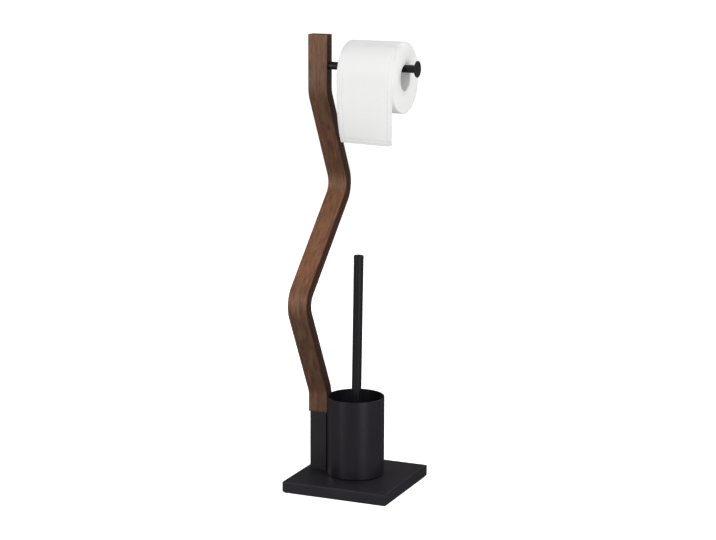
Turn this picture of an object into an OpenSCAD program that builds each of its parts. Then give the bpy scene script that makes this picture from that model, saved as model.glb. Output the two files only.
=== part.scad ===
// Toilet roll and brush stand: a bent wood post on a weighted square base,
// with a plain arm for one roll at its top and a steel cup for the brush at its foot.
// The origin is on the floor, in the middle of the base. +X runs along the arm,
// +Y to the back and +Z up.

/* [Base] */
// Width of the base cover, left to right
base_w = 191; // [160:1:240]
// Depth of the base cover, front to back
base_d = 191; // [160:1:240]
// Height of the base cover
base_h = 18.5; // [17:0.5:24]
// Sheet thickness of the base cover
base_wall = 2; // [1.5:0.25:2.5]
// Outside radius of the folded top edges
base_edge_r = 2.5; // [2.5:0.25:5]
// Radius of the ground upright corners
base_corner_r = 1; // [0.75:0.25:4]
// Thickness of the anti-slip pad
pad_t = 2; // [1:0.25:3]
// Distance from the edge of the base to the pad
pad_inset = 1.5; // [1:0.5:20]
// Corner radius of the pad
pad_corner_r = 3; // [3:1:12]

/* [Sleeve] */
// Width of the rectangular steel sleeve
sleeve_w = 32; // [28:0.5:32.5]
// Depth of the sleeve
sleeve_d = 17; // [15:0.5:18]
// Height of the sleeve above the base
sleeve_h = 104; // [90:0.5:125]
// Wall thickness of the sleeve
sleeve_wall = 1.5; // [1.25:0.25:1.75]
// Outside corner radius of the sleeve
sleeve_corner_r = 2; // [2:0.25:3]
// Height of the threaded block welded into the foot of the sleeve
plug_h = 16; // [13:1:20]
// Distance between the two bolts under the sleeve
bolt_pitch = 15; // [13.5:0.5:16]

/* [Post] */
// Width of the wood post
post_w = 35; // [33:0.5:38]
// Thickness of the wood post
post_t = 20; // [18.5:0.5:24]
// Radius of the eased long edges
post_ease = 0.75; // [0.5:0.25:3]
// Radius of the eased top edges
post_top_ease = 0.75; // [0.5:0.25:3]
// Radius on the inside of each bend
bend_inside_r = 25; // [15:1:35]
// Distance from the left edge of the base to the post
post_inset = 10.6; // [6:0.1:16]
// Clear gap between the post and the cup
cup_gap = 0.6; // [0.4:0.1:10]
// Rise from the foot of the wood to the first bend
foot_rise = 37; // [25:1:60]
// Rise of the lower slope, which swings to the front
lower_rise = 170.5; // [150:0.5:200]
// Rise of the middle slope, which crosses to the back
middle_rise = 176.5; // [150:0.5:200]
// Rise of the upper slope, which returns to the post's axis
upper_rise = 169; // [150:0.5:200]
// Rise of the straight top
top_rise = 98; // [80:0.5:120]
// Reach of the front bend from the post's axis
swing_front = 92.5; // [70:0.5:95]
// Reach of the back bend from the post's axis
swing_back = 90.5; // [70:0.5:95]
// Length of the tenon inside the sleeve
tenon_h = 45; // [40:1:50]

/* [Arm] */
// Diameter of the arm
arm_d = 13; // [12:0.25:14]
// Free length of the arm
arm_len = 157; // [150:0.5:180]
// Distance from the top of the post down to the arm's axis
arm_drop = 52; // [30:0.5:60]
// Diameter of the end disc
disc_d = 27.5; // [22:0.5:34]
// Thickness of the end disc
disc_t = 2.5; // [2:0.25:5]
// Radius of the disc's rounded edges
disc_edge_r = 0.9; // [0.5:0.1:0.95]
// Diameter of the joining studs in the arm
stud_d = 6; // [5:0.5:6.5]
// Length of the stud that goes into the arm
stud_grip = 20; // [14:1:30]
// Diameter of the threaded insert in the post
insert_d = 9; // [8:0.25:10]
// Length of the threaded insert
insert_len = 13; // [9:0.5:16]

/* [Cup] */
// Outside diameter of the brush cup
cup_d = 98.5; // [92:0.5:104]
// Height of the brush cup
cup_h = 138; // [115:1:150]
// Wall thickness of the cup
cup_wall = 1.5; // [1:0.25:2]
// Thickness of the cup's floor
cup_floor = 1.5; // [1:0.25:3]
// Radius between the cup's wall and its floor
cup_foot_r = 2.5; // [2.25:0.25:5]

/* [Roll] */
// Width of the roll
roll_w = 98.5; // [90:0.5:105]
// Outside diameter of the paper
roll_d = 118.5; // [80:0.5:125]
// Inside diameter of the core
core_in_d = 43.5; // [38:0.5:48]
// Wall thickness of the core
core_wall = 1; // [0.6:0.1:2]
// Distance from the post to the roll
roll_start = 38.5; // [25:0.5:45]
// Hanging length of the loose sheet
tail_len = 107.5; // [70:0.5:130]
// Solid thickness of the loose sheet
tail_t = 0.8; // [0.6:0.1:1]
// How far the sheet's lower left corner curls to the back
tail_curl = 18; // [0:1:35]
// How far the sheet's right edge stands to the front
tail_stand = 0.5; // [0:0.5:8]

/* [Brush] */
// Length of the brush from the tips to the cap
brush_len = 382.5; // [350:0.5:420]
// Lean of the brush to the right, in degrees
brush_lean = 0.8; // [0:0.1:1.2]
// How far the brush's foot stands left of the cup's middle
brush_off = 0.9; // [0:0.1:4]
// Diameter of the handle tube
handle_d = 16.75; // [14:0.25:18]
// Wall thickness of the handle tube
handle_wall = 1.2; // [1:0.1:1.5]
// Height of the handle's cap
cap_h = 5; // [3:0.5:12]
// How far the cap stands out round the handle
cap_lip = 0.2; // [0.2:0.1:1]
// Diameter over the bristles
brush_d = 78; // [70:1:84]
// Height of the brush head's body
head_h = 82; // [76:1:90]
// Diameter of the brush head's body
head_d = 22; // [20:0.5:24]
// Number of bristles round the head
bristle_columns = 28; // [27:1:34]
// Number of bristle rings on the straight part of the head
bristle_rings = 11; // [10:1:12]

/* [Fasteners] */
// Diameter of the bolts and of the cup's stud
bolt_d = 5; // [4:0.5:5.5]
// Diameter of the bolt heads
bolt_head_d = 8.5; // [8:0.25:9]
// Height of the bolt heads
bolt_head_h = 5; // [4:0.25:5]
// Width across the flats of the nut
nut_flats = 8; // [7.5:0.25:8.5]
// Height of the nut
nut_h = 4; // [3:0.25:4.5]
// Diameter of the washers
washer_d = 10; // [9.5:0.25:11]
// Thickness of the washers
washer_t = 1; // [0.8:0.1:1.4]
// Diameter of the screws through the back of the sleeve
screw_d = 3.5; // [3:0.25:4]
// Diameter of the heads of these screws
screw_head_d = 7; // [6:0.25:8]
// Distance between these screws
screw_pitch = 20; // [15:1:25]

/* [Hidden] */
$fn = 128;

// One overrun serves all cuts
over = 1;
// Clearance of a thread, a press fit or a glued fit, on the radius
snug = 0.05;
// Clearance of a piece that drops into another, on each side
slip = 0.2;
// Distance kept between pieces of which one moves
rest_gap = 0.3;

// Heights of the base, from the floor up
base_top = pad_t + base_h;
weight_h = base_h - base_wall;
weight_edge_r = 1.5;
counterbore_h = 8;
counterbore_d = 13;
seat_z = pad_t + counterbore_h;

// The sleeve and the post stand by the left edge of the base, and the cup stands beside them
post_x = post_inset + post_w / 2 - base_w / 2;
post_face_x = post_x + post_w / 2;
cup_x = post_face_x + cup_gap + cup_d / 2;
sleeve_top = base_top + sleeve_h;
sleeve_in_w = sleeve_w - 2 * sleeve_wall;
sleeve_in_d = sleeve_d - 2 * sleeve_wall;
plug_corner_r = sleeve_corner_r - sleeve_wall + snug;
bolt_reach = 12;
bolt_socket_d = 4.6;
bolt_socket_h = 2.5;

// Corners of the post's axis, each as [y, z], from the foot to the top
bend_1_z = sleeve_top + foot_rise;
bend_2_z = bend_1_z + lower_rise;
bend_3_z = bend_2_z + middle_rise;
bend_4_z = bend_3_z + upper_rise;
post_top = bend_4_z + top_rise;
post_path = [[0, sleeve_top], [0, bend_1_z], [-swing_front, bend_2_z],
             [swing_back, bend_3_z], [0, bend_4_z], [0, post_top]];
bend_r = bend_inside_r + post_t / 2;
bend_inset = 0.02;
bend_lap = 0.8;
tenon_ease = 1;
screw_len = 10;
screw_head_h = 2.2;
screw_top_drop = 12;

// The arm and its studs
arm_z = post_top - arm_drop;
disc_x = post_face_x + arm_len;
insert_depth = insert_len + over;
stud_in_post = insert_len - over;
stud_hole = stud_grip + over;
arm_edge_r = 0.8;
disc_stud_len = 14;

// The cup
cup_in_r = cup_d / 2 - cup_wall;
cup_floor_z = base_top + cup_floor;
cup_stud_end = seat_z - washer_t - nut_h - over;

// The roll hangs on the arm by the top of its core
roll_x = post_face_x + roll_start;
roll_z = arm_z + arm_d / 2 + rest_gap - core_in_d / 2;
core_out_d = core_in_d + 2 * core_wall;
tail_columns = 8;
tail_rows = 14;
tail_straight_share = 0.3;

// The brush stands on its lowest bristles
brush_rest = 0.6;
neck_h = 10;
neck_d = handle_d;
neck_edge_r = 1;
cap_edge_r = 1.5;
cap_spigot_h = 10;
handle_bore = handle_d - 2 * handle_wall;
handle_foot = head_h + neck_h;
handle_top = brush_len - cap_h;
ferrule_h = 18;
head_stud_d = 8;
head_stud_h = 20;
head_foot = 14;

// The backing that carries the bristles, in rings from its top down over its dome. Its inner
// facets stay clear of the round head
dome_rings = 3;
dome_step = 24;
backing_t = 1.2;
backing_in_r = (head_d / 2 + snug) / cos(180 / bristle_columns) / cos(dome_step / 2);
backing_r = backing_in_r + backing_t;
backing_top = head_h - neck_h;
dome_z = head_foot + head_d / 2;
ring_last = bristle_rings + dome_rings;
ring_step = (backing_top - dome_z) / bristle_rings;

// The bristles: those at the crown draw in and rise, and those of the nose end in a blunt curve
root_shares = [[0.5, 0.3], [0.68, 0.66], [0.32, 0.66]];
strand_points = 2 * len(root_shares);
tip_w = 0.8;
bristle_lift = 5;
crown_share = 0.12;
crown_power = 4;
lift_power = 2;
nose_power = 0.6;
nose_angle = (dome_rings - 0.5) * dome_step;

function lean(a, b) = atan2(b[0] - a[0], b[1] - a[1]);
function turn(i) = lean(post_path[i], post_path[i + 1]) - lean(post_path[i - 1], post_path[i]);
function trim(i) = i == 0 || i == len(post_path) - 1 ? 0 : bend_r * tan(abs(turn(i)) / 2);

// Rectangle with round corners, centred
module rounded_rect(w, d, r) {
    square([w - 2 * r, d], center = true);
    square([w, d - 2 * r], center = true);
    for (x = [-1, 1], y = [-1, 1])
        translate([x * (w / 2 - r), y * (d / 2 - r)])
            circle(r);
}

// Outline that stands on its base line, with two round upper corners
module round_topped(w, h, r) {
    translate([-w / 2, 0])
        square([w, h - r]);
    translate([-(w / 2 - r), 0])
        square([w - 2 * r, h]);
    for (x = [-1, 1])
        translate([x * (w / 2 - r), h - r])
            circle(r);
}

// Block with round upper edges, standing on z = 0
module round_topped_block(w, d, h, r) {
    intersection() {
        rotate([90, 0, 0])
            linear_extrude(d, center = true)
                round_topped(w, h, r);
        rotate([90, 0, 90])
            linear_extrude(w, center = true)
                round_topped(d, h, r);
    }
}

// The cup's upright axis
module at_cup() {
    translate([cup_x, 0, 0])
        children();
}

// Places under the sleeve's two bolts
module at_bolts() {
    for (side = [-1, 1])
        translate([post_x + side * bolt_pitch / 2, 0, 0])
            children();
}

// Places of the two screws through the back of the sleeve
module at_screws() {
    for (step = [0, 1])
        translate([post_x, sleeve_d / 2, sleeve_top - screw_top_drop - step * screw_pitch])
            rotate([90, 0, 0])
                children();
}

// The arm's axis, with z running along the arm from the post
module on_arm() {
    translate([post_face_x, 0, arm_z])
        rotate([0, 90, 0])
            children();
}

// The brush's own frame, with z running up the leaning handle
module in_brush() {
    translate([cup_x - brush_off, 0, cup_floor_z])
        rotate([0, brush_lean, 0])
            children();
}

// Folded sheet cover of the base
module base_cover() {
    color("#2b2b2e")
        translate([0, 0, pad_t])
            difference() {
                intersection() {
                    round_topped_block(base_w, base_d, base_h, base_edge_r);
                    linear_extrude(base_h + over)
                        rounded_rect(base_w, base_d, base_corner_r);
                }
                translate([0, 0, -over])
                    round_topped_block(base_w - 2 * base_wall, base_d - 2 * base_wall,
                                       weight_h + over, base_edge_r - base_wall);
                at_cup()
                    cylinder(h = base_h + over, d = bolt_d + 2 * slip);
                at_bolts()
                    cylinder(h = base_h + over, d = bolt_d + 2 * slip);
            }
}

// Iron slab bonded inside the cover
module base_weight() {
    fit = 2 * (base_wall + slip);
    color("#3c3d3f")
        translate([0, 0, pad_t])
            difference() {
                round_topped_block(base_w - fit, base_d - fit, weight_h, weight_edge_r);
                at_cup()
                    weight_hole();
                at_bolts()
                    weight_hole();
            }
}

// Clearance hole with a counterbore from below
module weight_hole() {
    translate([0, 0, -over])
        cylinder(h = weight_h + 2 * over, d = bolt_d + 2 * slip);
    translate([0, 0, -over])
        cylinder(h = counterbore_h + over, d = counterbore_d);
}

module base_pad() {
    color("#1b1b1c")
        linear_extrude(pad_t)
            rounded_rect(base_w - 2 * pad_inset, base_d - 2 * pad_inset, pad_corner_r);
}

// Rectangular tube that holds the post's tenon
module post_sleeve() {
    color("#2b2b2e")
        difference() {
            translate([post_x, 0, base_top])
                linear_extrude(sleeve_h)
                    difference() {
                        rounded_rect(sleeve_w, sleeve_d, sleeve_corner_r);
                        rounded_rect(sleeve_in_w, sleeve_in_d, sleeve_corner_r - sleeve_wall);
                    }
            at_screws()
                translate([0, 0, -over])
                    cylinder(h = sleeve_wall + 2 * over, d = screw_d + 2 * slip);
        }
}

// Threaded block in the foot of the sleeve
module sleeve_plug() {
    color("#8d8f92")
        difference() {
            translate([post_x, 0, base_top])
                linear_extrude(plug_h)
                    rounded_rect(sleeve_in_w - 2 * snug, sleeve_in_d - 2 * snug, plug_corner_r);
            translate([0, 0, base_top - over])
                at_bolts()
                    cylinder(h = bolt_reach + 2 * over, d = bolt_d + 2 * snug);
        }
}

// Socket head bolts that draw the sleeve down
module post_bolts() {
    head_top = seat_z - washer_t;
    color("#7c7e80")
        at_bolts()
            difference() {
                union() {
                    translate([0, 0, head_top - bolt_head_h])
                        cylinder(h = bolt_head_h, d = bolt_head_d);
                    translate([0, 0, head_top])
                        cylinder(h = base_top + bolt_reach - head_top, d = bolt_d);
                }
                translate([0, 0, head_top - bolt_head_h - over])
                    cylinder(h = bolt_socket_h + over, d = bolt_socket_d, $fn = 6);
            }
}

module post_washers() {
    color("#a0a2a4")
        at_bolts()
            washer();
}

// Washer against the roof of a counterbore
module washer() {
    translate([0, 0, seat_z - washer_t])
        difference() {
            cylinder(h = washer_t, d = washer_d);
            translate([0, 0, -over])
                cylinder(h = washer_t + 2 * over, d = bolt_d + 2 * slip);
        }
}

// The post's section stands at the bend radius, drawn in by an inset
module post_section(inset) {
    translate([bend_r, 0])
        rounded_rect(post_t - 2 * inset, post_w - 2 * inset, post_ease);
}

// Straight stretch of the post between two corners of its axis
module post_run(i) {
    a = post_path[i];
    b = post_path[i + 1];
    run = norm(b - a) - trim(i) - trim(i + 1);
    translate([post_x, a[0], a[1]])
        rotate([-lean(a, b), 0, 0])
            translate([0, -bend_r, trim(i)])
                rotate([0, 0, 90])
                    linear_extrude(run)
                        post_section(0);
}

// Bend of the post round one corner of its axis. It is a hair thinner than the runs and reaches
// into both of them, so that they fuse into one body
module post_bend(i) {
    tilt = lean(post_path[i - 1], post_path[i]);
    side = sign(turn(i));
    start = side > 0 ? -90 - tilt - turn(i) : 90 - tilt;
    foot = post_path[i] - trim(i) * [sin(tilt), cos(tilt)];
    middle = foot + side * bend_r * [cos(tilt), -sin(tilt)];
    translate([post_x, middle[0], middle[1]])
        rotate([start - bend_lap, 0, 0])
            rotate([0, 90, 0])
                rotate_extrude(angle = abs(turn(i)) + 2 * bend_lap)
                    post_section(bend_inset);
}

// Last stretch of the post, with its top edges eased
module post_crown() {
    foot = bend_4_z + trim(4);
    translate([post_x, 0, foot])
        intersection() {
            linear_extrude(post_top - foot)
                rounded_rect(post_w, post_t, post_ease);
            round_topped_block(post_w, post_t, post_top - foot, post_top_ease);
        }
}

// Bent wood post with its tenon, screw holes and insert hole
module wood_post() {
    last = len(post_path) - 2;
    color("#7a5a45")
        difference() {
            union() {
                for (i = [0 : last - 1])
                    post_run(i);
                for (i = [1 : last])
                    post_bend(i);
                post_crown();
                translate([post_x, 0, sleeve_top - tenon_h])
                    linear_extrude(tenon_h)
                        rounded_rect(sleeve_in_w - 2 * slip, sleeve_in_d - 2 * slip, tenon_ease);
            }
            at_screws()
                cylinder(h = screw_len + over, d = screw_d + 2 * snug);
            on_arm()
                translate([0, 0, -insert_depth])
                    cylinder(h = insert_depth + over, d = insert_d + 2 * snug);
        }
}

// Pan head screws that lock the tenon
module tenon_screws() {
    color("#2b2b2e")
        at_screws() {
            cylinder(h = screw_len, d = screw_d);
            translate([0, 0, -screw_head_h])
                cylinder(h = screw_head_h, d = screw_head_d);
        }
}

// Threaded brass insert in the side of the post
module arm_insert() {
    color("#b08d45")
        on_arm()
            translate([0, 0, -insert_len])
                difference() {
                    cylinder(h = insert_len, d = insert_d);
                    translate([0, 0, -over])
                        cylinder(h = insert_len + 2 * over, d = stud_d + 2 * snug);
                }
}

// Headless stud that joins the arm to the insert
module arm_stud() {
    color("#8d8f92")
        on_arm()
            translate([0, 0, -stud_in_post])
                cylinder(h = stud_in_post + stud_grip, d = stud_d);
}

// Round bar that carries the roll
module roll_arm() {
    color("#2b2b2e")
        on_arm()
            difference() {
                rotate_extrude()
                    difference() {
                        square([arm_d / 2, arm_len]);
                        translate([arm_d / 2 - arm_edge_r, 0])
                            difference() {
                                square([arm_edge_r, arm_edge_r]);
                                translate([0, arm_edge_r])
                                    circle(arm_edge_r);
                            }
                    }
                translate([0, 0, -over])
                    cylinder(h = stud_hole + over, d = stud_d + 2 * snug);
                translate([0, 0, arm_len - disc_stud_len - over])
                    cylinder(h = disc_stud_len + 2 * over, d = stud_d + 2 * snug);
            }
}

// Disc that keeps the roll on the arm, with its stud
module arm_end_disc() {
    color("#2b2b2e")
        translate([disc_x, 0, arm_z])
            rotate([0, 90, 0]) {
                rotate_extrude() {
                    square([disc_d / 2 - disc_edge_r, disc_t]);
                    translate([0, disc_edge_r])
                        square([disc_d / 2, disc_t - 2 * disc_edge_r]);
                    for (level = [disc_edge_r, disc_t - disc_edge_r])
                        translate([disc_d / 2 - disc_edge_r, level])
                            circle(disc_edge_r);
                }
                translate([0, 0, -disc_stud_len])
                    cylinder(h = disc_stud_len + disc_t / 2, d = stud_d);
            }
}

// Half section of the cup at a given distance inside its outer face
module cup_section(inset, foot, height, corner_r) {
    r = cup_d / 2 - inset;
    translate([0, foot])
        square([r - corner_r, height - foot]);
    translate([0, foot + corner_r])
        square([r, height - foot - corner_r]);
    translate([r - corner_r, foot + corner_r])
        circle(corner_r);
}

// Drawn steel cup with a rolled foot radius and a round rim
module cup_shell() {
    color("#2f2f33")
        translate([cup_x, 0, base_top])
            rotate_extrude() {
                difference() {
                    cup_section(0, 0, cup_h - cup_wall / 2, cup_foot_r);
                    cup_section(cup_wall, cup_floor, cup_h + over, cup_foot_r - cup_wall);
                }
                translate([cup_d / 2 - cup_wall / 2, cup_h - cup_wall / 2])
                    circle(cup_wall / 2);
            }
}

// Stud welded under the cup's floor
module cup_stud() {
    color("#8d8f92")
        translate([cup_x, 0, cup_stud_end])
            cylinder(h = base_top - cup_stud_end, d = bolt_d);
}

module cup_washer() {
    color("#a0a2a4")
        at_cup()
            washer();
}

module cup_nut() {
    color("#8d8f92")
        translate([cup_x, 0, seat_z - washer_t - nut_h])
            difference() {
                cylinder(h = nut_h, d = nut_flats / cos(30), $fn = 6);
                translate([0, 0, -over])
                    cylinder(h = nut_h + 2 * over, d = bolt_d + 2 * snug);
            }
}

// Tube along the roll's axis
module roll_tube(outer, inner) {
    translate([roll_x, 0, roll_z])
        rotate([0, 90, 0])
            difference() {
                cylinder(h = roll_w, d = outer);
                translate([0, 0, -over])
                    cylinder(h = roll_w + 2 * over, d = inner);
            }
}

module roll_core() {
    color("#b9b2a8")
        roll_tube(core_out_d, core_in_d);
}

module roll_paper() {
    color("#f4f3f1")
        roll_tube(roll_d, core_out_d + 2 * snug);
}

// Place of the loose sheet at shares of its width and length
function tail_drop(v) = max(0, v - tail_straight_share) / (1 - tail_straight_share);
function tail_y(u, v) = -(roll_d / 2 + rest_gap) - tail_stand * u * sin(90 * tail_drop(v))
                        + tail_curl * (1 - u) * pow(tail_drop(v), 2);
function tail_point(u, v, skin) = [roll_x + u * roll_w, tail_y(u, v) - skin * tail_t,
                                   roll_z - v * tail_len];

// Loose end of the paper, hanging from the front of the roll
module roll_tail() {
    wide = tail_columns + 1;
    side = wide * (tail_rows + 1);
    points = [for (skin = [0, 1], v = [0 : tail_rows], u = [0 : tail_columns])
              tail_point(u / tail_columns, v / tail_rows, skin)];
    cells = [for (v = [0 : tail_rows - 1], u = [0 : tail_columns - 1]) v * wide + u];
    back = [for (c = cells) each [[c, c + 1, c + wide], [c + 1, c + wide + 1, c + wide]]];
    front = [for (f = back) [f[2] + side, f[1] + side, f[0] + side]];
    rim = concat([for (u = [0 : tail_columns]) u],
                 [for (v = [1 : tail_rows]) v * wide + tail_columns],
                 [for (u = [tail_columns - 1 : -1 : 0]) tail_rows * wide + u],
                 [for (v = [tail_rows - 1 : -1 : 1]) v * wide]);
    edge = [for (i = [0 : len(rim) - 1])
            let (a = rim[i], b = rim[(i + 1) % len(rim)])
            each [[b, a, a + side], [b, a + side, b + side]]];
    color("#f7f6f4")
        polyhedron(points, [for (f = concat(back, front, edge)) [f[2], f[1], f[0]]]);
}

// Tube of the handle
module handle_tube() {
    color("#2b2b2e")
        in_brush()
            translate([0, 0, handle_foot])
                difference() {
                    cylinder(h = handle_top - handle_foot, d = handle_d);
                    translate([0, 0, -over])
                        cylinder(h = handle_top - handle_foot + 2 * over, d = handle_bore);
                }
}

// Cap that closes the top of the handle
module handle_cap() {
    r = handle_d / 2 + cap_lip;
    color("#232325")
        in_brush()
            translate([0, 0, handle_top]) {
                rotate_extrude() {
                    square([r - cap_edge_r, cap_h]);
                    square([r, cap_h - cap_edge_r]);
                    translate([r - cap_edge_r, cap_h - cap_edge_r])
                        circle(cap_edge_r);
                }
                translate([0, 0, -cap_spigot_h])
                    cylinder(h = cap_spigot_h + over, d = handle_bore - 2 * snug);
            }
}

// Ferrule in the foot of the handle, with the stud for the head
module handle_stud() {
    color("#8d8f92")
        in_brush()
            translate([0, 0, handle_foot - head_stud_h]) {
                cylinder(h = head_stud_h + over, d = head_stud_d);
                translate([0, 0, head_stud_h])
                    cylinder(h = ferrule_h, d = handle_bore - 2 * snug);
            }
}

// Moulded body of the brush head, narrowed to the handle
module brush_head() {
    core_r = head_d / 2;
    color("#26262a")
        in_brush()
            difference() {
                rotate_extrude() {
                    intersection() {
                        translate([0, dome_z])
                            circle(core_r);
                        square([core_r, dome_z]);
                    }
                    translate([0, dome_z])
                        square([core_r, head_h - dome_z]);
                    translate([0, head_h])
                        polygon([[0, 0], [core_r, 0], [neck_d / 2, neck_h - neck_edge_r],
                                 [neck_d / 2, neck_h], [0, neck_h]]);
                }
                translate([0, 0, handle_foot - head_stud_h - over])
                    cylinder(h = head_stud_h + 2 * over, d = head_stud_d + 2 * snug);
            }
}

// Rings of the backing, each as [radius, height] for a shell radius r
function dome_angle(k) = max(0, k - bristle_rings) * dome_step;
function ring(k, r) = [r * cos(dome_angle(k)),
                       k <= bristle_rings ? backing_top - k * ring_step
                                          : dome_z - r * sin(dome_angle(k))];
function around(p, a) = [p[0] * cos(a), p[0] * sin(a), p[1]];
function column_angle(j) = 360 * j / bristle_columns;

// A root is a triangle inside its cell, at shares of the cell's width and height
function in_cell(k, j, s) = around(ring(k + s[1], backing_r), column_angle(j + s[0]));

// Where the bristle of a cell ends, as [radius, height]
function tip(k) = let (up = max(0, 1 - (k + 0.5) / bristle_rings), a = dome_angle(k + 0.5))
    k < bristle_rings
        ? [brush_d / 2 * (1 - crown_share * pow(up, crown_power)),
           ring(k + 0.5, backing_r)[1] + bristle_lift * pow(up, lift_power)]
        : [brush_d / 2 * pow(cos(a), nose_power),
           dome_z - (dome_z - brush_rest) * sin(a) / sin(nose_angle)];
function tip_point(k, j, s) = let (p = tip(k), a = column_angle(j + 0.5))
    around(p, a) + tip_w * ((s[0] - 0.5) * [-sin(a), cos(a), 0] + (0.5 - s[1]) * [0, 0, 1]);

// Bristles thin out over the dome, where the columns draw together
function bears(k, j) = k < bristle_rings || j % pow(2, k - bristle_rings) == 0;

// Bristles fused to the slice of backing that carries them
module bristles() {
    n = bristle_columns;
    skin = n * (ring_last + 1);
    outer = [for (k = [0 : ring_last], j = [0 : n - 1]) around(ring(k, backing_r), column_angle(j))];
    inner = [for (k = [0 : ring_last], j = [0 : n - 1]) around(ring(k, backing_in_r), column_angle(j))];
    poles = [[0, 0, dome_z - backing_r], [0, 0, dome_z - backing_in_r]];
    cells = [for (k = [0 : ring_last - 1], j = [0 : n - 1]) [k, j]];
    rooted = [for (c = cells) if (bears(c[0], c[1])) c];
    bare = [for (c = cells) if (!bears(c[0], c[1])) c];
    strands = [for (c = rooted) each concat([for (s = root_shares) in_cell(c[0], c[1], s)],
                                            [for (s = root_shares) tip_point(c[0], c[1], s)])];
    first = 2 * skin + len(poles);
    color("#d9d9d6")
        in_brush()
            polyhedron(concat(outer, inner, poles, strands), concat(
                [for (i = [0 : len(rooted) - 1])
                 each strand_faces(corners(rooted[i], n), first + strand_points * i)],
                [for (c = bare) let (q = corners(c, n)) each [[q[0], q[1], q[2]], [q[0], q[2], q[3]]]],
                [for (c = cells) let (q = corners(c, n) + skin * [1, 1, 1, 1])
                 each [[q[0], q[2], q[1]], [q[0], q[3], q[2]]]],
                [for (j = [0 : n - 1]) let (q = corners([0, j], n))
                 each [[q[1], q[0], q[0] + skin], [q[1], q[0] + skin, q[1] + skin]]],
                [for (j = [0 : n - 1]) let (q = corners([ring_last, j], n)) [q[0], q[1], 2 * skin]],
                [for (j = [0 : n - 1]) let (q = corners([ring_last, j], n))
                 [q[1] + skin, q[0] + skin, 2 * skin + 1]]));
}

// Corners of one cell, clockwise from its upper left as seen from outside
function corners(c, n) = [c[0] * n + c[1], c[0] * n + (c[1] + 1) % n,
                          (c[0] + 1) * n + (c[1] + 1) % n, (c[0] + 1) * n + c[1]];

// Faces of one bristle, with the cell round its root; r is the number of its first point
function strand_faces(q, r) = [
    [q[0], q[1], r], [q[1], r + 1, r], [q[1], q[2], r + 1], [q[2], q[3], r + 1],
    [q[3], r + 2, r + 1], [q[3], q[0], r + 2], [q[0], r, r + 2],
    [r, r + 1, r + 4], [r, r + 4, r + 3], [r + 1, r + 2, r + 5], [r + 1, r + 5, r + 4],
    [r + 2, r, r + 3], [r + 2, r + 3, r + 5], [r + 3, r + 4, r + 5]];

base_cover();
base_weight();
base_pad();
post_sleeve();
sleeve_plug();
post_bolts();
post_washers();
wood_post();
tenon_screws();
arm_insert();
arm_stud();
roll_arm();
arm_end_disc();
cup_shell();
cup_stud();
cup_washer();
cup_nut();
roll_core();
roll_paper();
roll_tail();
handle_tube();
handle_cap();
handle_stud();
brush_head();
bristles();
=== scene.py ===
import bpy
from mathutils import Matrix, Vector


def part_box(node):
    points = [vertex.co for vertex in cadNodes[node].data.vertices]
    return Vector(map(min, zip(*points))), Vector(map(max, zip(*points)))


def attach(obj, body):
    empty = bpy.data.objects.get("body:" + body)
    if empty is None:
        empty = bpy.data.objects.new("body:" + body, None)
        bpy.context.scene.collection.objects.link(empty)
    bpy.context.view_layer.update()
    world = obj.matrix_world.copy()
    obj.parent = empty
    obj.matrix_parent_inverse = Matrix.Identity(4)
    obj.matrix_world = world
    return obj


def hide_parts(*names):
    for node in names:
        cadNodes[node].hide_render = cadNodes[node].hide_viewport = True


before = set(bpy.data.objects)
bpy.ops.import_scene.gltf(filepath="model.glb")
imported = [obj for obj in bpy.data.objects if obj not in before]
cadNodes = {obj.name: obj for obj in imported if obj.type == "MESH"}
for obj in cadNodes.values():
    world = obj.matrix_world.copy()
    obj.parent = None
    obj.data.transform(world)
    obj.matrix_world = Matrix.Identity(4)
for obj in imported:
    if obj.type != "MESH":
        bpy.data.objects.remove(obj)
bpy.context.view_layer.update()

import math

import bpy
import numpy as np
from mathutils import Euler, Matrix, Vector

mm = 0.001
print("loaded", len(cadNodes), "solids")


# Small helpers

def linear(hexCode):
    parts = [int(hexCode[i:i + 2], 16) / 255 for i in (1, 3, 5)]
    return [c / 12.92 if c <= 0.04045 else ((c + 0.055) / 1.055) ** 2.4 for c in parts] + [1.0]


# Adds one shader node; "stops" fills a colour ramp with (place, hex colour) pairs
def addNode(tree, kind, settings=None, inputs=None, links=None):
    node = tree.nodes.new(kind)
    for key, value in (settings or {}).items():
        if key == "stops":
            elements = node.color_ramp.elements
            while len(elements) < len(value):
                elements.new(0.5)
            for element, (place, colour) in zip(elements, value):
                element.position = place
                element.color = linear(colour)
        else:
            setattr(node, key, value)
    for key, value in (inputs or {}).items():
        node.inputs[key].default_value = value
    for key, source in (links or {}).items():
        tree.links.new(source, node.inputs[key])
    return node


def newMaterial(name, preview):
    material = bpy.data.materials.new(name)
    material.use_nodes = True
    material.diffuse_color = linear(preview)
    return material, material.node_tree, material.node_tree.nodes["Principled BSDF"]


def meshPiece(name, points, faces, *materials):
    mesh = bpy.data.meshes.new(name)
    mesh.from_pydata((np.asarray(points, float) * mm).tolist(), [], faces)
    mesh.validate()
    piece = bpy.data.objects.new(name, mesh)
    bpy.context.scene.collection.objects.link(piece)
    for material in materials:
        mesh.materials.append(material)
    mesh.polygons.foreach_set("use_smooth", [True] * len(mesh.polygons))
    return piece


# Quads between rows of points that lie one after another; a closed row joins its last to its first
def gridFaces(rows, columns, closed=True, first=0):
    reach = columns if closed else columns - 1
    return [(first + r * columns + c, first + r * columns + (c + 1) % columns,
             first + (r + 1) * columns + (c + 1) % columns, first + (r + 1) * columns + c)
            for r in range(rows - 1) for c in range(reach)]


# The same for closed rows, with the last row joined to the first as well
def loopFaces(rows, columns):
    last = (rows - 1) * columns
    return gridFaces(rows, columns) + [(last + c, last + (c + 1) % columns, (c + 1) % columns, c)
                                       for c in range(columns)]


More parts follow.
